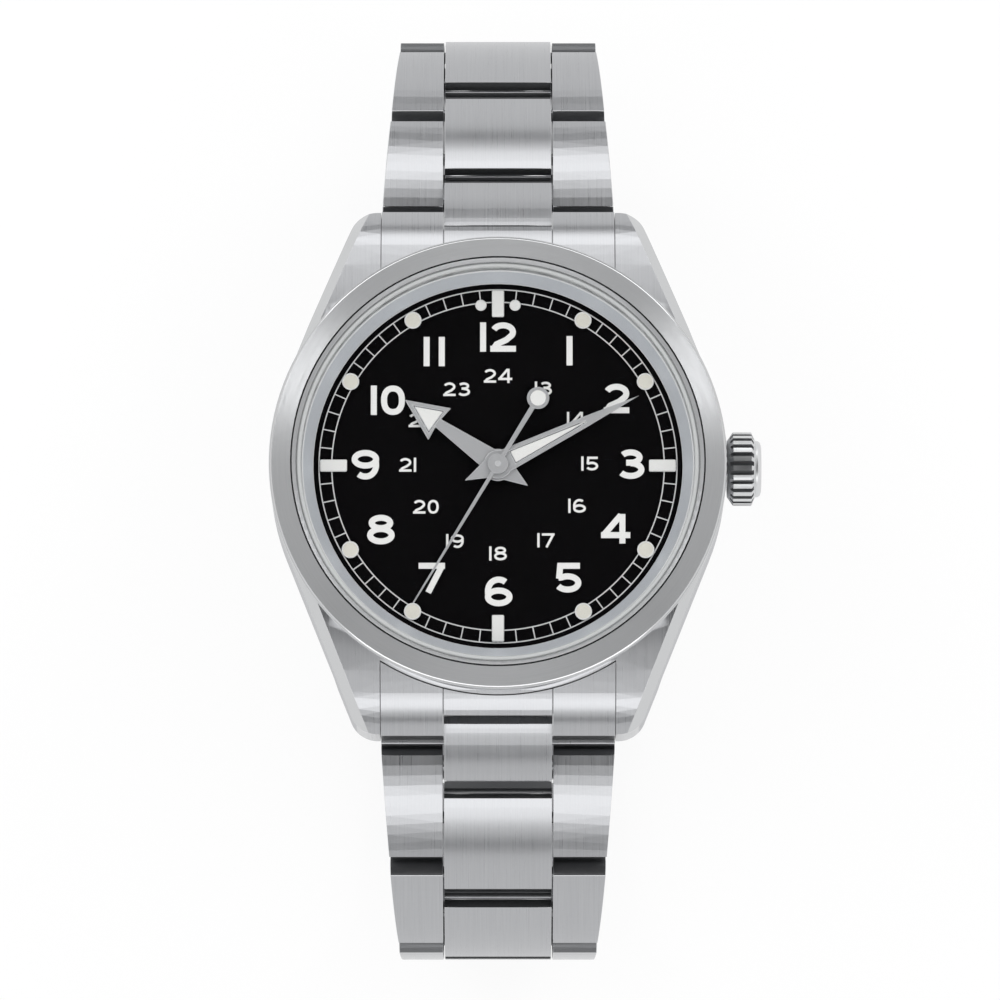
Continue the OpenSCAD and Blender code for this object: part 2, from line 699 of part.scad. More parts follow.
// The solid end link: two outer parts that carry on the lugs' curve, and a tongue to the first hinge
module end_link() {
    outer_w = lug_gap - 0.1;
    shoulder = 6;
    color(steel) difference() {
        union() {
            at_dial() across(-outer_w / 2, outer_w / 2) {
                end_side();
                translate([lug_tip_y + 0.18, end_pin[1] + 1.4]) circle(r = 0.22);
            }
            at_dial() across(-centre_w / 2, centre_w / 2) tongue_side();
        }
        at_dial() across(-centre_w / 2, centre_w / 2) difference() {
            end_cut(shoulder, 1);
            tongue_side();
        }
        for (s = [-1, 1]) at_dial() translate([s * (centre_w / 2 + 0.04) - 0.04, 0, 0])
            across(0, 0.08) difference() {
                end_side();
                translate([0, -0.35]) end_side();
            }
        at_dial() slab(case_r + 0.08, lug_bottom - 1, 5);
        at_dial() translate([0, bar_y, bar_z]) pin_x(0.7 + turning_fit, -12, 12);
        at_dial() translate([0, end_pin[0], end_pin[1]]) pin_x(pin_r + turning_fit, -12, 12);
    }
}
// Side view of the end link, which ends upright beside the lug tips, short of the first hinge
module end_side() {
    low = -8.1;
    difference() {
        intersection() {
            top_curves(middle_top - 0.03);
            translate([16, low]) square([lug_tip_y - 15.9, middle_top - 0.03 - low]);
        }
        end_cut(barrel_r + 0.25, -9);
        translate([0, low - 1]) square([case_r - 0.2, middle_bottom - low + 0.9]);
    }
}
module end_cut(short, from) { side_at_end() translate([-short, from]) square([20, 20]); }
module tongue_side() {
    first = -4.6;
    last = 1;
    side_at_end() {
        circle(r = barrel_r);
        translate([first - 0.4, -1.2]) square([-first, 1.9]);
        intersection() {
            translate([first + 1, 2.45 - tongue_curve_r]) circle(r = tongue_curve_r, $fn = 300);
            translate([first, -1.2]) square([last - first, 5]);
        }
    }
}
module end_link_12() { end_link(); }
module end_link_6() { rotate(180) end_link(); }

module clasp_cover() {
    back = clasp_pin_y - 2.3;
    front = clasp_pin_y - 1.9;
    wall_x = clasp_w / 2 - cover_t;
    cheek_in = centre_w / 2 + face_gap;
    color(steel) difference() {
        union() {
            translate([-clasp_w / 2, -back, 0]) cube([clasp_w, back + front, cover_t]);
            for (x = [-clasp_w / 2, wall_x]) translate([x, -back, 0])
                cube([cover_t, back + front, clasp_h]);
            for (x = [-clasp_w / 2 + 0.3, cheek_in]) across(x, x + clasp_w / 2 - 0.3 - cheek_in) {
                translate([-clasp_pin_y, clasp_pin_z]) circle(r = barrel_r);
                translate([-clasp_pin_y, clasp_pin_z - barrel_r]) square([4.5, 2.9]);
            }
        }
        translate([0, -clasp_pin_y, clasp_pin_z]) pin_x(0.45, -7, 7);
        translate([0, blade_pin_y, blade_pin_z]) pin_x(pin_r + fixed_fit, -12, 12);
        translate([0, button_y, blade_pin_z]) pin_x(1.15 + turning_fit, -12, 12);
    }
    color(steel) translate([0, blade_pin_y, blade_pin_z]) pin_x(pin_r, 0.15 - clasp_w / 2, clasp_w / 2 - 0.15);
}
module clasp_inner_blade() {
    knuckle = blade_w / 2 - 1.6;
    low = 1.2;
    color(steel) difference() {
        union() {
            translate([-blade_w / 2, 1.2 - blade_pin_y, low]) cube([blade_w, 2 * blade_pin_y - 1.2, 0.8]);
            across(-knuckle, knuckle) {
                translate([-blade_pin_y, blade_pin_z]) circle(r = 0.9);
                translate([-blade_pin_y, low]) square([1.6, 1.4]);
            }
            across(-blade_w / 2, blade_w / 2) {
                translate([blade_pin_y, blade_pin_z]) circle(r = 0.9);
                translate([blade_pin_y - 0.9, low]) square([0.9, 1.4]);
            }
        }
        for (s = [-1, 1]) translate([0, s * blade_pin_y, blade_pin_z])
            pin_x(pin_r + turning_fit, -12, 12);
    }
}
module clasp_outer_blade() {
    knuckle = blade_w / 2 - 1.5;
    high = 4.3;
    cheek_in = centre_w / 2 + face_gap;
    cheek_out = clasp_w / 2 - cover_t - 0.3;
    color(steel) difference() {
        union() {
            translate([-blade_w / 2, -blade_pin_y, high - 0.7])
                cube([blade_w, blade_pin_y + clasp_pin_y - 2.4, 0.7]);
            translate([-cheek_out, clasp_pin_y - 4.6, high - 0.7]) cube([2 * cheek_out, 2.2, 0.7]);
            for (x = [-blade_w / 2, knuckle]) across(x, x + blade_w / 2 - knuckle) {
                translate([-blade_pin_y, blade_pin_z]) circle(r = 0.9);
                translate([-blade_pin_y, blade_pin_z]) square([0.9, high - blade_pin_z]);
            }
            for (x = [-cheek_out, cheek_in]) across(x, x + cheek_out - cheek_in) {
                translate([clasp_pin_y, clasp_pin_z]) circle(r = barrel_r);
                translate([clasp_pin_y - 3.2, clasp_pin_z - 0.5]) square([3.2, high - clasp_pin_z + 0.5]);
            }
        }
        translate([0, clasp_pin_y, clasp_pin_z]) pin_x(pin_r + fixed_fit, -12, 12);
        translate([0, -blade_pin_y, blade_pin_z]) pin_x(pin_r + fixed_fit, -12, 12);
    }
    color(steel) translate([0, clasp_pin_y, clasp_pin_z]) pin_x(pin_r, 0.15 - cheek_out, cheek_out - 0.15);
    color(steel) translate([0, -blade_pin_y, blade_pin_z])
        pin_x(pin_r, 0.15 - blade_w / 2, blade_w / 2 - 0.15);
}
// Pulled in, so that the last link is free of the cover
module clasp_spring_bar() {
    color(steel) translate([0, -clasp_pin_y, clasp_pin_z]) pin_x(pin_r, 0.1 - centre_w / 2, centre_w / 2 - 0.1);
}
module clasp_button() {
    wall_in = clasp_w / 2 - cover_t;
    color(steel) translate([0, button_y, blade_pin_z]) {
        pin_x(1.15, wall_in - 1.2, clasp_w / 2 + 0.9);
        pin_x(1.5, wall_in - 1.25, wall_in - 0.25);
    }
}
module clasp_button_right() { clasp_button(); }
module clasp_button_left() { mirror([1, 0, 0]) clasp_button(); }

case();
bezel();
crystal();
crystal_gasket();
chapter_ring();
dial();
hour_markers();
movement_ring();
case_back();
case_back_window();
case_back_gasket();
crown_tube();
crown();
winding_stem();
winding_pinion();
hour_hand();
minute_hand();
seconds_hand();
mainplate();
barrel();
centre_wheel();
third_wheel();
fourth_wheel();
escape_wheel();
pallet_fork();
balance_wheel();
hairspring();
balance_cock();
train_bridge();
barrel_bridge();
ratchet_wheel();
crown_wheel();
minute_wheel();
hour_wheel();
rotor();
rotor_bearing();
bridge_screws();
spring_bars();
end_link_12();
end_link_6();
link(falls_12, 0);  // link_12_1
link(falls_12, 1);  // link_12_2
link(falls_12, 2);  // link_12_3
link(falls_12, 3);  // link_12_4
link(falls_12, 4);  // link_12_5
rotate(180) link(falls_6, 0);  // link_6_1
rotate(180) link(falls_6, 1);  // link_6_2
rotate(180) link(falls_6, 2);  // link_6_3
rotate(180) link(falls_6, 3);  // link_6_4
rotate(180) link(falls_6, 4);  // link_6_5
at_clasp() clasp_cover();
at_clasp() clasp_inner_blade();
at_clasp() clasp_outer_blade();
at_clasp() clasp_spring_bar();
at_clasp() clasp_button_left();
at_clasp() clasp_button_right();
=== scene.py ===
# A self-winding wristwatch on its steel bracelet, standing dial up on its closed clasp.
import json
import math

import bmesh
import bpy
from mathutils import Matrix, Vector


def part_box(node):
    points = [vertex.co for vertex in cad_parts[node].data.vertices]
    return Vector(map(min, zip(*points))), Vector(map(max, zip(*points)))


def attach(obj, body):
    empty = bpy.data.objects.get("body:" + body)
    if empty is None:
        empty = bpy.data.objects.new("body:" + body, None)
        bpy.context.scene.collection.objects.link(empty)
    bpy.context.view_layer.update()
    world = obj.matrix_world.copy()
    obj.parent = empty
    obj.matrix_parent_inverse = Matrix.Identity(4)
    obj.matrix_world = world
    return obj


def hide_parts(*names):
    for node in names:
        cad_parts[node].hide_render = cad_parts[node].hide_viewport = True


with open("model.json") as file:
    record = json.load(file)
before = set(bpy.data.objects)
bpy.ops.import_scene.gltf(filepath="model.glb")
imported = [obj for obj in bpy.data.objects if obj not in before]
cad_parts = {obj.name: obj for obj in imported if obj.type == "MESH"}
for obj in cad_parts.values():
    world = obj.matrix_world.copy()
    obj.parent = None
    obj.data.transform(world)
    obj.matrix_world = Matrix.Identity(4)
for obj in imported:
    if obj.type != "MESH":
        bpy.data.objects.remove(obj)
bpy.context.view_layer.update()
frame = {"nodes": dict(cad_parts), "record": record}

MM = 0.001
DIAL_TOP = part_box("dial")[1][2]
FULL_TURN = 2 * math.pi
# Faces of the CAD meshes that turn by less than this many degrees are joined into one flat face. It is
# small, so that the long, gentle curves of the lugs keep their strips and shade evenly.
FLAT = 0.08
# Edges that turn by more than this many degrees stay sharp in the shading
SHARP = 12


def linear(hex_colour):
    """Turns an sRGB hex colour such as "#C8C8C8" into linear red, green, blue and alpha."""
    parts = [int(hex_colour[i:i + 2], 16) / 255 for i in (1, 3, 5)]
    return [p / 12.92 if p <= 0.04045 else ((p + 0.055) / 1.055) ** 2.4 for p in parts] + [1]


def add(tree, kind, inputs=None, **settings):
    """Adds a node to a tree, sets its properties and fills its inputs with values or with outputs."""
    node = tree.nodes.new(kind)
    for name, value in settings.items():
        setattr(node, name, value)
    for key, value in (inputs or {}).items():
        if isinstance(value, bpy.types.NodeSocket):
            tree.links.new(value, node.inputs[key])
        else:
            node.inputs[key].default_value = value
    return node


def new_material(name, base, metallic=0.0, roughness=0.5, **sockets):
    """A material with one Principled shader, returned with its tree and that shader."""
    material = bpy.data.materials.new(name)
    material.use_nodes = True
    tree = material.node_tree
    shader = tree.nodes["Principled BSDF"]
    shader.inputs["Base Color"].default_value = linear(base)
    shader.inputs["Metallic"].default_value = metallic
    shader.inputs["Roughness"].default_value = roughness
    for key, value in sockets.items():
        shader.inputs[key.replace("_", " ")].default_value = value
    return material, tree, shader


# How strongly the brush lines spread a reflection across themselves, from 0 to 1
ANISOTROPY = 0.85


def brush_across(tree, shader, across):
    """Spreads reflections across the brush lines. across is the direction over the lines."""
    tree.links.new(across, shader.inputs["Tangent"])
    shader.inputs["Anisotropic"].default_value = ANISOTROPY


def grain(tree, shader, vector, light, dark, smooth, rough, depth):
    """Fine lines from a noise: they vary the colour, the roughness and the height of a surface.

    smooth is the roughness of the dark parts, rough that of the light ones, depth the lines' height."""
    noise = add(tree, "ShaderNodeTexNoise", {"Vector": vector, "Scale": 1.0, "Detail": 4.0,
                                             "Roughness": 0.65})
    colour = add(tree, "ShaderNodeMix", {0: noise.outputs["Fac"]}, data_type="RGBA")
    colour.inputs[6].default_value = linear(dark)
    colour.inputs[7].default_value = linear(light)
    tree.links.new(colour.outputs[2], shader.inputs["Base Color"])
    spread = add(tree, "ShaderNodeMapRange", {"Value": noise.outputs["Fac"], "From Min": 0.3,
                                              "From Max": 0.7, "To Min": smooth, "To Max": rough})
    tree.links.new(spread.outputs["Result"], shader.inputs["Roughness"])
    bump = add(tree, "ShaderNodeBump", {"Height": noise.outputs["Fac"], "Strength": 0.35,
                                        "Distance": depth})
    tree.links.new(bump.outputs["Normal"], shader.inputs["Normal"])


def brushed_steel(name, width, length, over_axis):
    """Stainless steel drawn over an abrasive belt: grey, with fine straight lines that spread the light.

    The lines are drawn coarser than the real 0.03 mm, so that they show in the render.
    over_axis is the axis across the lines."""
    material, tree, shader = new_material(name, "#C6C7C8", metallic=1.0, roughness=0.3)
    scale = [1 / length] * 3
    scale["XYZ".index(over_axis)] = 1 / width
    place = add(tree, "ShaderNodeTexCoord")
    stretch = add(tree, "ShaderNodeMapping", {"Vector": place.outputs["Object"], "Scale": scale})
    grain(tree, shader, stretch.outputs["Vector"], "#BDBEC0", "#A1A2A5", 0.26, 0.36, 0.006 * MM)
    over = add(tree, "ShaderNodeCombineXYZ", {over_axis: 1.0})
    brush_across(tree, shader, over.outputs["Vector"])
    return material


# The length over which a turned ring changes
RING_CHANGE = 4 * MM


def turned_steel(name, width):
    """Stainless steel brushed as it turns on a lathe: fine rings round the hand axis."""
    material, tree, shader = new_material(name, "#C6C7C8", metallic=1.0, roughness=0.3)
    place = add(tree, "ShaderNodeTexCoord")
    flat = add(tree, "ShaderNodeVectorMath", {0: place.outputs["Object"], 1: (1, 1, 0)},
               operation="MULTIPLY")
    radius = add(tree, "ShaderNodeVectorMath", {0: flat.outputs["Vector"]}, operation="LENGTH")
    rings = add(tree, "ShaderNodeMath", {0: radius.outputs["Value"], 1: 1 / width}, operation="MULTIPLY")
    slow = add(tree, "ShaderNodeVectorMath", {0: flat.outputs["Vector"], "Scale": 1 / RING_CHANGE},
               operation="SCALE")
    parts = add(tree, "ShaderNodeSeparateXYZ", {"Vector": slow.outputs["Vector"]})
    vector = add(tree, "ShaderNodeCombineXYZ", {"X": parts.outputs["X"], "Y": parts.outputs["Y"],
                                                "Z": rings.outputs["Value"]})
    grain(tree, shader, vector.outputs["Vector"], "#BEBFC0", "#AAABAD", 0.28, 0.4, 0.008 * MM)
    out = add(tree, "ShaderNodeVectorMath", {0: flat.outputs["Vector"]}, operation="NORMALIZE")
    brush_across(tree, shader, out.outputs["Vector"])
    return material


# The size of the faint clouds in a polished steel and in the crystal's coat
STEEL_CLOUD = 2 * MM
COAT_CLOUD = 5 * MM


def polished_steel(name, tint="#C8C9CA", roughness=0.08):
    """Steel buffed to a mirror, or duller at a higher roughness, with faint cloudiness."""
    material, tree, shader = new_material(name, tint, metallic=1.0, roughness=roughness)
    place = add(tree, "ShaderNodeTexCoord")
    clouds = add(tree, "ShaderNodeTexNoise", {"Vector": place.outputs["Object"], "Scale": 1 / STEEL_CLOUD,
                                              "Detail": 3.0})
    spread = add(tree, "ShaderNodeMapRange", {"Value": clouds.outputs["Fac"], "To Min": roughness * 0.6,
                                              "To Max": roughness * 1.5})
    tree.links.new(spread.outputs["Result"], shader.inputs["Roughness"])
    return material


def mottled(name, light, dark, grain_size, roughness, metallic=0.0, **sockets):
    """A surface with a fine, even grain, such as lacquer, paint, rubber or a lume paste."""
    material, tree, shader = new_material(name, light, metallic=metallic, roughness=roughness, **sockets)
    place = add(tree, "ShaderNodeTexCoord")
    stretch = add(tree, "ShaderNodeMapping", {"Vector": place.outputs["Object"],
                                              "Scale": [1 / grain_size] * 3})
    grain(tree, shader, stretch.outputs["Vector"], light, dark, roughness * 0.85, roughness * 1.1,
          0.004 * MM)
    return material


def sapphire_glass(name):
    """Sapphire with a coat that takes away most of its reflections, so that the dial shows clear."""
    material, tree, shader = new_material(name, "#05070A", roughness=0.02, Alpha=0.05)
    clouds = add(tree, "ShaderNodeTexNoise", {"Scale": 1 / COAT_CLOUD})
    place = add(tree, "ShaderNodeTexCoord")
    tree.links.new(place.outputs["Object"], clouds.inputs["Vector"])
    spread = add(tree, "ShaderNodeMapRange", {"Value": clouds.outputs["Fac"], "To Min": 0.01,
                                              "To Max": 0.04})
    tree.links.new(spread.outputs["Result"], shader.inputs["Roughness"])
    return material


# Steels. The widths and lengths are those of one brush line
STEEL_ALONG = brushed_steel("steel_brushed_lengthwise", 0.07 * MM, 9 * MM, "X")
STEEL_FLANK = brushed_steel("steel_brushed_level", 0.07 * MM, 9 * MM, "Z")
STEEL_TURNED = turned_steel("steel_brushed_round", 0.07 * MM)
STEEL_POLISHED = polished_steel("steel_polished")
STEEL_BURNISHED = polished_steel("steel_burnished", "#D4D5D6", 0.34)
# A dark steel that is painted shade: it darkens the ends of the links, the end links' faces that look
# along Y or slope down, and the floors of the crown's flutes, where shade falls in gaps and recesses
STEEL_PAINTED_SHADE = mottled("steel_painted_shade", "#77787A", "#68696B", 0.1 * MM, 0.4, metallic=1.0)
MOVEMENT_STEEL = brushed_steel("steel_striped_bridge", 0.25 * MM, 12 * MM, "X")
HAND_STEEL = mottled("hand_steel_bead_blasted", "#C0C1C3", "#B2B3B5", 0.08 * MM, 0.55, metallic=0.35)
# A light grey for the hands' rounded edges and the top of the seconds hand's hub: a painted highlight
# where their steel catches the light
HAND_EDGE_HIGHLIGHT = mottled("hand_steel_edge_painted_highlight", "#DCDDDF", "#D2D3D5", 0.1 * MM, 0.35, metallic=0.3)
GILT = mottled("brass_gilt", "#D2AE5F", "#B98F3F", 0.12 * MM, 0.28, metallic=1.0)
BLUED = polished_steel("steel_blued", "#2B3C7E", 0.15)
DIAL_BLACK = mottled("dial_lacquer_matt_black", "#060506", "#040304", 0.1 * MM, 0.6,
                     Specular_IOR_Level=0.06)
# Printed figures and track, lume and enamel
PRINT_WHITE = mottled("dial_print_luminous_white", "#F6F6F4", "#ECECEA", 0.15 * MM, 0.6)
TRACK_WHITE = mottled("dial_print_fine_white", "#DCDDDD", "#CFD0D0", 0.1 * MM, 0.6)
LUME = mottled("lume_paste", "#EBE9DF", "#DFDDD2", 0.12 * MM, 0.55)
LUME_HAND = mottled("lume_paste_hand", "#F2F2F0", "#E6E6E4", 0.12 * MM, 0.55)
MARKER_WHITE = mottled("marker_enamel_white", "#F2F2F0", "#E6E7E5", 0.12 * MM, 0.35)
RUBBER = mottled("gasket_black_nitrile", "#1A1A1B", "#111112", 0.08 * MM, 0.5)
NYLON = mottled("gasket_white_nylon", "#C4C6C6", "#B8BABA", 0.2 * MM, 0.45)
RING_SATIN = mottled("chapter_ring_satin_rhodium", "#DADEE3", "#CBD0D6", 0.15 * MM, 0.45, metallic=0.3)
# The chapter ring's rounded edges in near white: a painted highlight, the bright line along its edge
RING_EDGE_HIGHLIGHT = mottled("chapter_ring_edge_painted_highlight", "#F0F1F2", "#E6E7E9", 0.15 * MM, 0.3)
GLASS = sapphire_glass("sapphire_coated")


def finish_piece(piece, body, node_names, slot_name):
    """Ties a finished piece to the body it moves with, and hides the CAD nodes that it stands for."""
    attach(piece, body)
    if node_names:
        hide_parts(*node_names)


BODIES = frame["record"]["behaviour"]["bodies"]
BODY_OF = {node: body for body, nodes in BODIES.items() for node in nodes}
SLOT_OF = {s["node"]: s["material_slot"] for s in frame["record"]["subparts"]}


def new_object(name, mesh, materials):
    piece = bpy.data.objects.new(name, mesh)
    bpy.context.scene.collection.objects.link(piece)
    for material in materials:
        piece.data.materials.append(material)
    return piece


# Points of a CAD mesh nearer than this are one point
JOINED = 0.002 * MM


def cleaned_copy(node, joined):
    """A copy of a CAD node's mesh as a mesh and a bmesh, with equal points joined and its flats whole."""
    mesh = frame["nodes"][node].data.copy()
    mesh.materials.clear()
    work = bmesh.new()
    work.from_mesh(mesh)
    bmesh.ops.remove_doubles(work, verts=work.verts, dist=joined)
    bmesh.ops.dissolve_limit(work, angle_limit=math.radians(FLAT), verts=work.verts, edges=work.edges)
    return mesh, work


def finished_object(node, mesh, work, materials):
    """Writes the bmesh back and makes the object that stands for the node."""
    work.to_mesh(mesh)
    work.free()
    return new_object(node + "_finished", mesh, materials)


def round_edges(piece, edge, width, segments):
    """Rounds the edges that turn by more than edge degrees, and returns the modifier."""
    fine = piece.modifiers.new("edge", "BEVEL")
    fine.limit_method = "ANGLE"
    fine.angle_limit = math.radians(edge)
    fine.width = width
    fine.segments = segments
    return fine


def face_out_of(work):
    """The direction out of the bracelet for one link: away from its flat underside."""
    flats = [f for f in work.faces if abs(f.normal.x) < 0.1]
    return -max(flats, key=lambda f: f.calc_area()).normal


def dressed(node, materials, edge, width, side_slot=None, slope_slot=None, end_slot=None):
    """A copy of a CAD node with its flats and curves as clean faces and its edges rounded and polished.

    materials are the piece's surfaces, the last of them the edges, which are rounded to the given width
    where they turn by more than edge degrees. Faces that look sideways along X take side_slot, faces that
    slope both up and sideways slope_slot, and the ends of a link end_slot. On the bracelet end_slot holds
    a dark steel of painted shade for the gaps between links; on an end link it also takes the faces that
    look along Y or slope down, painted shade under it."""
    mesh, work = cleaned_copy(node, JOINED)
    out = face_out_of(work) if end_slot is not None and node.startswith("link") else None
    for face in work.faces:
        normal = face.normal
        if out:
            at_end = -0.9 < normal.dot(out) < 0.8
        else:
            at_end = abs(normal.y) > 0.93 or -0.9 < normal.z < 0
        face.material_index = 0
        face.smooth = True
        if side_slot is not None and abs(normal.x) > 0.75 and abs(normal.z) < 0.5:
            face.material_index = side_slot
        elif slope_slot is not None and abs(normal.x) > 0.25 and normal.z > 0.25:
            face.material_index = slope_slot
        elif end_slot is not None and abs(normal.x) < 0.3 and at_end:
            face.material_index = end_slot
    piece = finished_object(node, mesh, work, materials)
    round_edges(piece, edge, width, 2).material = len(materials) - 1
    mesh.set_sharp_from_angle(angle=math.radians(SHARP))
    shading = piece.modifiers.new("even_shading", "WEIGHTED_NORMAL")
    shading.keep_sharp = True
    finish_piece(piece, BODY_OF[node], [node], SLOT_OF[node])
    return piece


BRUSHED = [STEEL_ALONG, STEEL_FLANK, STEEL_POLISHED]
dressed("case", BRUSHED, 30, 0.06 * MM, side_slot=1, slope_slot=2)
dressed("bezel", [STEEL_TURNED, STEEL_POLISHED], 20, 0.08 * MM)
LINK_STEELS = [STEEL_ALONG, STEEL_FLANK, STEEL_PAINTED_SHADE, STEEL_POLISHED]
for side in ("12", "6"):
    dressed("end_link_" + side, LINK_STEELS, 30, 0.08 * MM, side_slot=1, end_slot=2)
    for number in range(1, 6):
        dressed(f"link_{side}_{number}", LINK_STEELS, 30, 0.12 * MM, side_slot=1, end_slot=2)
dressed("clasp_cover", BRUSHED, 30, 0.15 * MM, side_slot=1)
dressed("clasp_inner_blade", BRUSHED, 30, 0.1 * MM, side_slot=1)
dressed("clasp_outer_blade", BRUSHED, 30, 0.1 * MM, side_slot=1)
dressed("clasp_button_left", [STEEL_POLISHED], 30, 0.12 * MM)
dressed("clasp_button_right", [STEEL_POLISHED], 30, 0.12 * MM)
crown = dressed("crown", [STEEL_BURNISHED, STEEL_PAINTED_SHADE, STEEL_POLISHED], 30, 0.06 * MM)
# The floors of the crown's flutes take the dark steel, painted shade in these recesses. They lie between
# these distances from its axis
FLOORS_FROM, FLOORS_TO = 2.5 * MM, 2.8 * MM
heights = [vertex.co.z for vertex in crown.data.vertices]
crown_axis = (max(heights) + min(heights)) / 2
for face in crown.data.polygons:
    from_axis = math.hypot(face.center.y, face.center.z - crown_axis)
    if FLOORS_FROM < from_axis < FLOORS_TO and abs(face.normal.x) < 0.2:
        face.material_index = 1
dressed("case_back", [STEEL_TURNED, STEEL_POLISHED], 30, 0.1 * MM)
dressed("chapter_ring", [RING_SATIN, RING_EDGE_HIGHLIGHT], 30, 0.09 * MM)
dressed("crystal_gasket", [NYLON, NYLON], 30, 0.12 * MM)

# CAD nodes that keep their own mesh, with one material each
CARRIED = {"crystal": GLASS, "case_back_window": GLASS, "case_back_gasket": RUBBER, "dial": DIAL_BLACK,
           "movement_ring": STEEL_TURNED, "crown_tube": STEEL_POLISHED, "winding_stem": STEEL_POLISHED,
           "winding_pinion": STEEL_POLISHED, "mainplate": GILT, "barrel": GILT, "centre_wheel": GILT,
           "third_wheel": GILT, "fourth_wheel": GILT, "escape_wheel": STEEL_POLISHED,
           "pallet_fork": STEEL_POLISHED, "balance_wheel": GILT, "hairspring": BLUED,
           "balance_cock": MOVEMENT_STEEL, "train_bridge": MOVEMENT_STEEL,
           "barrel_bridge": MOVEMENT_STEEL, "ratchet_wheel": STEEL_TURNED,
           "crown_wheel": STEEL_POLISHED, "minute_wheel": GILT, "hour_wheel": GILT,
           "rotor": MOVEMENT_STEEL, "rotor_bearing": STEEL_POLISHED, "bridge_screws": BLUED,
           "spring_bars": STEEL_POLISHED, "clasp_spring_bar": STEEL_POLISHED}
for node, material in CARRIED.items():
    slots = frame["nodes"][node].data.materials
    slots.clear()
    slots.append(material)


def on_dial(x, y, z):
    """A place given in mm from the hand axis and the face of the dial."""
    return Vector((x * MM, y * MM, DIAL_TOP + z * MM))


def arc(cx, cy, rx, ry, start, end, steps=18, power=2.0):
    """Points on an ellipse from one angle to another in degrees. A power above 2 makes it squarer."""
    points = []
    for i in range(steps + 1):
        t = math.radians(start + (end - start) * i / steps)
        c, s = math.cos(t), math.sin(t)
        points.append((cx + rx * math.copysign(abs(c) ** (2 / power), c),
                       cy + ry * math.copysign(abs(s) ** (2 / power), s)))
    return points


# The figures as the middle lines of their strokes, in units of their height, from the baseline up.
# Each is its width and its strokes.
FIGURES = {
    "0": (0.8, [arc(0, 0.5, 0.3, 0.4, 90, 450, 40, 2.3)]),
    "1": (0.2, [[(0, 0), (0, 1)]]),
    "2": (0.86, [arc(0, 0.67, 0.33, 0.23, 158, -30, 20) + [(0.1, 0.4), (-0.22, 0.25), (-0.32, 0.1)],
                 [(-0.43, 0.1), (0.43, 0.1)]]),
    "3": (0.88, [arc(-0.02, 0.725, 0.3, 0.175, 150, -90, 20) + [(-0.17, 0.55)],
                 arc(-0.02, 0.315, 0.36, 0.215, 90, -150, 24)]),
    "4": (0.98, [[(0.18, 0.97), (-0.4, 0.29)], [(-0.49, 0.285), (0.49, 0.285)],
                 [(0.225, 0), (0.225, 1)]]),
    "5": (0.88, [[(0.39, 0.905), (-0.27, 0.905), (-0.31, 0.47)],
                 [(-0.33, 0.5)] + arc(-0.02, 0.325, 0.355, 0.225, 125, -152, 24)]),
    "6": (0.92, [arc(0, 0.315, 0.36, 0.215, 180, 540, 36), arc(0, 0.5, 0.36, 0.4, 195, 52, 18, 2.1)]),
    "7": (0.9, [[(-0.45, 0.905), (0.43, 0.905)], [(0.33, 0.9), (-0.13, 0)]]),
    "8": (0.92, [arc(0, 0.725, 0.31, 0.175, 90, 450, 32), arc(0, 0.31, 0.36, 0.21, 90, 450, 36)]),
}
FIGURES["9"] = (0.92, [[(-x, 1 - y) for x, y in stroke] for stroke in FIGURES["6"][1]])


# The thinnest step between two printed surfaces, in mm
HAIR = 0.002


def ribbon(mesh, points, width, low, high):
    """A flat stroke of even width along a line of points, as a thin prism. All sizes are in mm."""
    closed = math.dist(points[0], points[-1]) < 1e-6
    if closed:
        points = points[:-1]
    count = len(points)
    sides = []
    for i, (x, y) in enumerate(points):
        before = points[i - 1] if closed or i else None
        after = points[(i + 1) % count] if closed or i < count - 1 else None
        normals = []
        for (ax, ay), (bx, by) in ((before or (x, y), (x, y)), ((x, y), after or (x, y))):
            length = math.hypot(bx - ax, by - ay)
            if length > 1e-9:
                normals.append(((ay - by) / length, (bx - ax) / length))
        nx, ny = sum(n[0] for n in normals), sum(n[1] for n in normals)
        size = math.hypot(nx, ny)
        nx, ny = nx / size, ny / size
        reach = width / 2 / max(0.5, nx * normals[0][0] + ny * normals[0][1])
        sides.append([mesh.verts.new(on_dial(x + s * nx * reach, y + s * ny * reach, z))
                      for s, z in ((1, low), (-1, low), (-1, high), (1, high))])
    for i in range(count if closed else count - 1):
        a, b = sides[i], sides[(i + 1) % count]
        for k in range(4):
            mesh.faces.new((a[k], b[k], b[(k + 1) % 4], a[(k + 1) % 4]))
    if not closed:
        mesh.faces.new(sides[0])
        mesh.faces.new(sides[-1][::-1])


def write_figures(mesh, text, x, y, height, stroke, gap, top):
    """Draws a number centred on x, y, its strokes printed up to top. Each stroke of a figure is a hair
    taller than the one before it, so that no two faces coincide."""
    widths = [FIGURES[c][0] * height for c in text]
    left = x - (sum(widths) + gap * (len(text) - 1)) / 2
    for character, width in zip(text, widths):
        for n, line in enumerate(FIGURES[character][1]):
            points = [(left + width / 2 + px * height, y - height / 2 + py * height) for px, py in line]
            ribbon(mesh, points, stroke, HAIR, top + HAIR * n)
        left += width + gap


def mesh_piece(name, work, materials, body, slot_name):
    """Turns a bmesh into a finished piece."""
    bmesh.ops.recalc_face_normals(work, faces=work.faces)
    mesh = bpy.data.meshes.new(name)
    work.to_mesh(mesh)
    work.free()
    finish_piece(new_object(name, mesh, materials), body, [], slot_name)


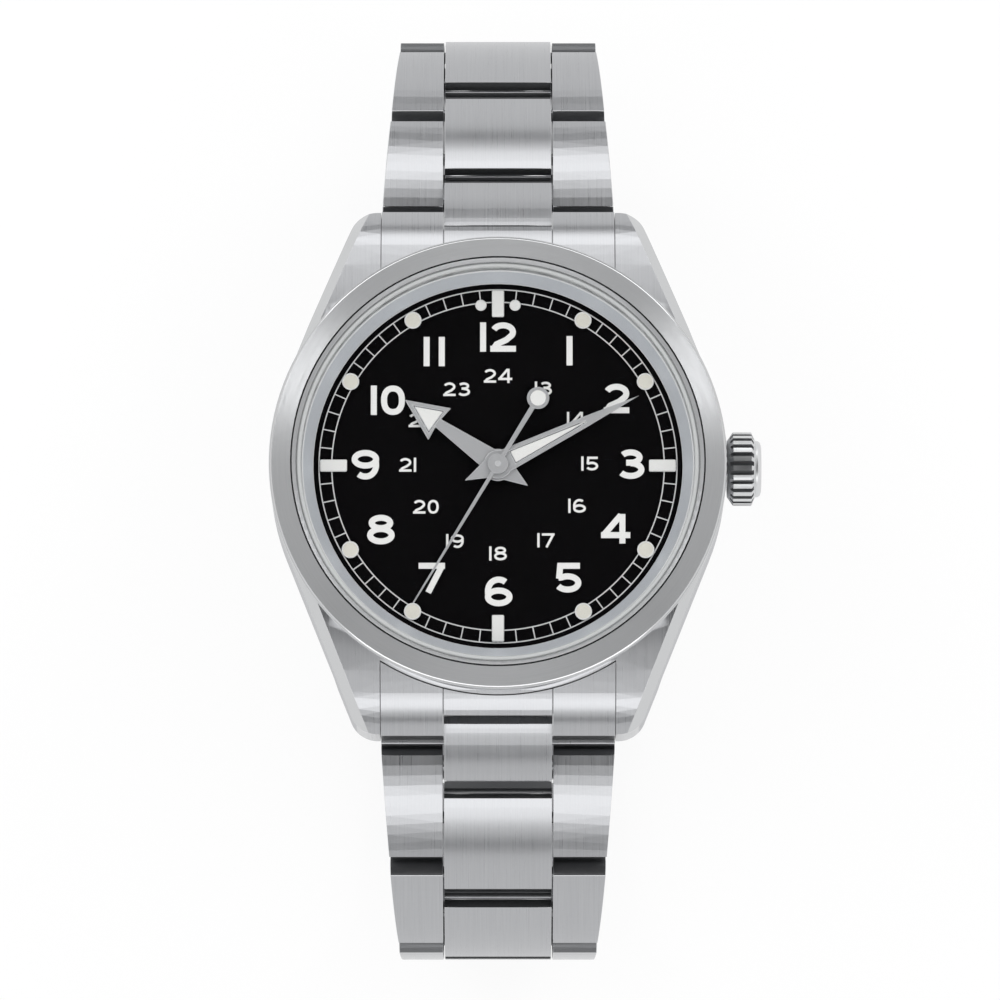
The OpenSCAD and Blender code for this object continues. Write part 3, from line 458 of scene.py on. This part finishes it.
# The hours, and inside them the ring from 13 to 24, each at its own place on the dial in mm
HOURS = {"12": (0.0, 11.1), "1": (6.08, 9.92), "2": (10.06, 5.8), "3": (11.3, 0.15), "4": (9.97, -5.4),
         "5": (5.95, -9.6), "6": (0.06, -10.77), "7": (-5.58, -9.6), "8": (-9.92, -5.47),
         "9": (-11.25, 0.1), "10": (-9.35, 5.65), "11": (-5.42, 9.85)}
DAY_HOURS = {"24": (0.0, 7.75), "13": (3.85, 6.66), "14": (6.63, 4.03), "15": (7.78, 0.2),
             "16": (6.7, -3.43), "17": (4.06, -6.38), "18": (0.0, -7.52), "19": (-3.65, -6.46),
             "20": (-6.1, -3.51), "21": (-7.65, 0.09), "22": (-6.45, 3.92), "23": (-3.5, 6.6)}
# Height, width of the stroke, gap between two figures and thickness of the print, in mm
figures = bmesh.new()
for text, (x, y) in HOURS.items():
    write_figures(figures, text, x, y, 2.53, 0.51, 0.78 if text == "11" else 0.36, 0.03)
mesh_piece("hour_figures", figures, [PRINT_WHITE], "head", "lume")
figures = bmesh.new()
for text, (x, y) in DAY_HOURS.items():
    write_figures(figures, text, x, y, 1.22, 0.2, 0.17, 0.02)
mesh_piece("day_hour_figures", figures, [PRINT_WHITE], "head", "lume")


def grow(name, build, inputs, materials, body, slot_name):
    """Makes a piece with a Geometry Nodes tree. build(tree, given) draws it from the group's inputs and
    returns the geometry socket."""
    tree = bpy.data.node_groups.new(name, "GeometryNodeTree")
    tree.interface.new_socket("Geometry", in_out="OUTPUT", socket_type="NodeSocketGeometry")
    for label, value in inputs.items():
        kind = "NodeSocketInt" if isinstance(value, int) else "NodeSocketFloat"
        tree.interface.new_socket(label, in_out="INPUT", socket_type=kind)
    start = add(tree, "NodeGroupInput")
    geometry = build(tree, start.outputs)
    solid = add(tree, "GeometryNodeRealizeInstances", {"Geometry": geometry})
    coloured = add(tree, "GeometryNodeSetMaterial", {"Geometry": solid.outputs["Geometry"],
                                                     "Material": materials[0]})
    add(tree, "NodeGroupOutput", {"Geometry": coloured.outputs["Geometry"]})
    holder = new_object(name + "_seed", bpy.data.meshes.new(name + "_seed"), materials)
    modifier = holder.modifiers.new(name, "NODES")
    modifier.node_group = tree
    for item in tree.interface.items_tree:
        if item.in_out == "INPUT":
            modifier[item.identifier] = inputs[item.name]
    mesh = bpy.data.meshes.new_from_object(holder.evaluated_get(bpy.context.evaluated_depsgraph_get()))
    bpy.data.objects.remove(holder)
    mesh.name = name
    if not mesh.materials:
        mesh.materials.append(materials[0])
    finish_piece(new_object(name, mesh, []), body, [], slot_name)


def round_the_dial(tree, given, shape):
    """Copies a shape to evenly spaced points on a circle about the hand axis, each turned outward."""
    circle = add(tree, "GeometryNodeMeshCircle", {"Vertices": given["Count"], "Radius": given["Radius"]})
    index = add(tree, "GeometryNodeInputIndex")
    turn = add(tree, "ShaderNodeMath", {0: index.outputs["Index"], 1: FULL_TURN}, operation="MULTIPLY")
    share = add(tree, "ShaderNodeMath", {0: turn.outputs["Value"], 1: given["Count"]}, operation="DIVIDE")
    angle = add(tree, "ShaderNodeCombineXYZ", {"Z": share.outputs["Value"]})
    copies = add(tree, "GeometryNodeInstanceOnPoints", {"Points": circle.outputs["Mesh"],
                                                        "Instance": shape,
                                                        "Rotation": angle.outputs["Vector"]})
    lift = add(tree, "ShaderNodeCombineXYZ", {"Z": given["Height"]})
    moved = add(tree, "GeometryNodeTransform", {"Geometry": copies.outputs["Instances"],
                                                "Translation": lift.outputs["Vector"]})
    return moved.outputs["Geometry"]


def minute_ticks(tree, given):
    """The short strokes between the two circles of the minute track."""
    block = add(tree, "ShaderNodeCombineXYZ", {"X": given["Length"], "Y": given["Width"],
                                               "Z": given["Thickness"]})
    tick = add(tree, "GeometryNodeMeshCube", {"Size": block.outputs["Vector"]})
    return round_the_dial(tree, given, tick.outputs["Mesh"])


grow("minute_ticks", minute_ticks,
     {"Count": 60, "Radius": 14.64 * MM, "Length": 0.98 * MM, "Width": 0.1 * MM, "Thickness": 0.02 * MM,
      "Height": DIAL_TOP + 0.014 * MM}, [TRACK_WHITE], "head", "lume")
TRACK_RADII = (15.18, 14.1)
track = bmesh.new()
for radius in TRACK_RADII:
    ribbon(track, arc(0, 0, radius, radius, 0, 360, 240), 0.1, 2 * HAIR, 0.022)
mesh_piece("minute_track", track, [TRACK_WHITE], "head", "lume")


def dot_rims(tree, given):
    """The round wires about the round hour markers. Every third hour has a bar instead."""
    circle = "GeometryNodeCurvePrimitiveCircle"
    outer = add(tree, circle, {"Radius": given["Rim radius"], "Resolution": 40})
    wire = add(tree, circle, {"Radius": given["Wire radius"], "Resolution": 10})
    rim = add(tree, "GeometryNodeCurveToMesh", {"Curve": outer.outputs["Curve"],
                                                "Profile Curve": wire.outputs["Curve"]})
    smooth = add(tree, "GeometryNodeSetShadeSmooth", {"Geometry": rim.outputs["Mesh"]})
    ring = round_the_dial(tree, given, smooth.outputs["Geometry"])
    index = add(tree, "GeometryNodeInputIndex")
    third = add(tree, "ShaderNodeMath", {0: index.outputs["Index"], 1: 3.0}, operation="MODULO")
    bar = add(tree, "ShaderNodeMath", {0: third.outputs["Value"], 1: 0.5}, operation="LESS_THAN")
    kept = add(tree, "GeometryNodeDeleteGeometry", {"Geometry": ring, "Selection": bar.outputs["Value"]},
               domain="INSTANCE")
    return kept.outputs["Geometry"]


grow("marker_rims", dot_rims,
     {"Count": 12, "Radius": 14.45 * MM, "Rim radius": 0.66 * MM, "Wire radius": 0.07 * MM,
      "Height": DIAL_TOP + 0.23 * MM}, [MARKER_WHITE], "head", "lume")


def islands(work):
    """The separate solids of a mesh, each as a list of its faces."""
    left = set(work.faces)
    while left:
        group, edge_of_group = [], [left.pop()]
        while edge_of_group:
            face = edge_of_group.pop()
            group.append(face)
            for e in face.edges:
                for other in e.link_faces:
                    if other in left:
                        left.remove(other)
                        edge_of_group.append(other)
        yield group


# Above this height over the dial, in mm, the top of the seconds hand's hub takes the light edge grey, a
# painted highlight
HUB_TOP = 1.23


def hand(node, below, width):
    """A hand: blasted steel with edges in a lighter grey, a painted highlight, and its lume, the solid
    whose top is lower than below, in mm over the dial. width is that of its rounded edges."""
    mesh, work = cleaned_copy(node, JOINED / 2)
    for group in islands(work):
        top = max(v.co.z for f in group for v in f.verts)
        for face in group:
            face.material_index = 1 if top < DIAL_TOP + below * MM else 0
            if face.calc_center_median().z > DIAL_TOP + HUB_TOP * MM:
                face.material_index = 2
    piece = finished_object(node, mesh, work, [HAND_STEEL, LUME_HAND, HAND_EDGE_HIGHLIGHT])
    fine = round_edges(piece, 40, width, 1)
    fine.material = 2
    fine.harden_normals = True
    finish_piece(piece, BODY_OF[node], [node], "hand_steel")


# The lume's top is below the first number and the steel's above it
hand("hour_hand", 0.605, 0.09 * MM)
hand("minute_hand", 0.905, 0.08 * MM)
hand("seconds_hand", 1.175, 0.04 * MM)

# The round hour markers are filled with lume. The bars and the two pearls beside twelve are white
SMALLEST_HOUR = 1.2 * MM
SQUARE_WITHIN = 0.1 * MM
mesh, work = cleaned_copy("hour_markers", JOINED)
for group in islands(work):
    corners = [v.co for f in group for v in f.verts]
    wide, high = (max(c[i] for c in corners) - min(c[i] for c in corners) for i in (0, 1))
    round_hour = abs(wide - high) < SQUARE_WITHIN and wide > SMALLEST_HOUR
    for face in group:
        face.material_index = 0 if round_hour else 1
piece = finished_object("hour_markers", mesh, work, [LUME, MARKER_WHITE])
round_edges(piece, 40, 0.12 * MM, 2).harden_normals = True
finish_piece(piece, BODY_OF["hour_markers"], ["hour_markers"], SLOT_OF["hour_markers"])


# The studio: a white floor and surround, long soft lamps over the ends of the bracelet, two small bright
# ones up to the left and right, a fill lamp, and darker cards. The steel shows them as bands, each at its
# own angle from straight up. They face a point on the hand axis, in mm.
scene = bpy.context.scene
HAND_AXIS_TOP = Vector((0, 0, 48))
world = bpy.data.worlds.new("studio")
scene.world = world
world.use_nodes = True
world.node_tree.nodes["Background"].inputs["Color"].default_value = linear("#FFFFFF")
world.node_tree.nodes["Background"].inputs["Strength"].default_value = 1.0


def aim(thing, angle, turn, distance):
    """Places a thing at an angle from straight up, turned about the vertical from +Y, facing the dial.
    Angles are in degrees, the distance in mm."""
    tilt, round_ = math.radians(angle), math.radians(turn)
    out = Vector((math.sin(tilt) * math.sin(round_), math.sin(tilt) * math.cos(round_), math.cos(tilt)))
    thing.location = (HAND_AXIS_TOP + out * distance) * MM
    across = Vector((math.cos(round_), -math.sin(round_), 0))
    thing.rotation_euler = Matrix((across, out.cross(across), out)).transposed().to_euler()


def lamp(name, angle, turn, distance, width, length, brightness, mirrored=True):
    """A rectangular soft lamp. brightness is its radiance, where 1 looks white. A lamp that is not
    mirrored gives light, but the steel does not reflect it."""
    data = bpy.data.lights.new(name, "AREA")
    data.shape = "RECTANGLE"
    data.size, data.size_y = width * MM, length * MM
    data.energy = brightness * math.pi * data.size * data.size_y
    light = bpy.data.objects.new(name, data)
    light.visible_glossy = mirrored
    scene.collection.objects.link(light)
    aim(light, angle, turn, distance)


def card(name, angle, turn, distance, width, length, colour):
    """A flat card of matt board outside the picture, which the steel reflects as a darker area."""
    board, _, shader = new_material(name + "_board", colour, roughness=0.9)
    w, l = width * MM / 2, length * MM / 2
    mesh = bpy.data.meshes.new(name)
    mesh.from_pydata([(-w, -l, 0), (w, -l, 0), (w, l, 0), (-w, l, 0)], [], [(0, 1, 2, 3)])
    mesh.materials.append(board)
    piece = bpy.data.objects.new(name, mesh)
    scene.collection.objects.link(piece)
    aim(piece, angle, turn, distance)
    piece.visible_camera = False


lamp("lamp_toward_six", 48.5, 180, 1500, 2400, 480, 1.12)
lamp("lamp_toward_twelve", 63, 0, 1500, 2400, 480, 1.12)
lamp("lamp_upper_right", 43, 53, 1500, 420, 460, 3.4)
lamp("lamp_upper_left", 43, -53, 1500, 420, 460, 3.4)
lamp("lamp_fill", 0, 0, 1400, 1000, 1000, 1.5, mirrored=False)
card("card_overhead", 7, 0, 1500, 1500, 2250, "#242527")
card("strip_toward_six", 70.5, 180, 1450, 2400, 160, "#6E6F71")
card("strip_toward_twelve", 81, 0, 1450, 2400, 160, "#6E6F71")

# The floor is 8 m wide, and half a millimetre below the clasp. Camera and mirror rays see most of its
# paper as pure white
FLOOR_SIZE = 8
FLOOR_GAP = 0.5 * MM
WHITE_SHARE = 0.85
bpy.ops.mesh.primitive_plane_add(size=FLOOR_SIZE, location=(0, 0, -FLOOR_GAP))
floor = bpy.context.object
floor.name = "studio_floor"
paper, tree, matt = new_material("paper_white_matt", "#FAFAFA", roughness=0.9)
path = add(tree, "ShaderNodeLightPath")
seen = add(tree, "ShaderNodeMath", {0: path.outputs["Is Camera Ray"], 1: path.outputs["Is Glossy Ray"]},
           operation="MAXIMUM")
seen = add(tree, "ShaderNodeMath", {0: seen.outputs["Value"], 1: path.outputs["Is Transmission Ray"]},
           operation="MAXIMUM")
share = add(tree, "ShaderNodeMath", {0: seen.outputs["Value"], 1: WHITE_SHARE}, operation="MULTIPLY")
white = add(tree, "ShaderNodeEmission", {"Color": linear("#FFFFFF"), "Strength": 1.0})
both = add(tree, "ShaderNodeMixShader", {0: share.outputs["Value"], 1: matt.outputs["BSDF"],
                                         2: white.outputs["Emission"]})
tree.links.new(both.outputs["Shader"], tree.nodes["Material Output"].inputs["Surface"])
floor.data.materials.append(paper)

# The camera looks steeply down from the six o'clock side. The picture's centre lies below the dial's
ELEVATION = math.radians(80.8)
DISTANCE = 800 * MM
camera_data = bpy.data.cameras.new("camera")
camera_data.lens = 340
camera_data.sensor_width = 36
camera_data.clip_start, camera_data.clip_end = 0.05, 20
camera = bpy.data.objects.new("camera", camera_data)
scene.collection.objects.link(camera)
scene.camera = camera
back = Vector((0, -math.cos(ELEVATION), math.sin(ELEVATION)))
image_up = Vector((0, math.sin(ELEVATION), math.cos(ELEVATION)))
target = on_dial(0.17, 0, 1) - image_up * 3.05 * MM
camera.location = target + back * DISTANCE
camera.rotation_euler = (-back).to_track_quat("-Z", "Y").to_euler()
scene.view_settings.view_transform = "Standard"
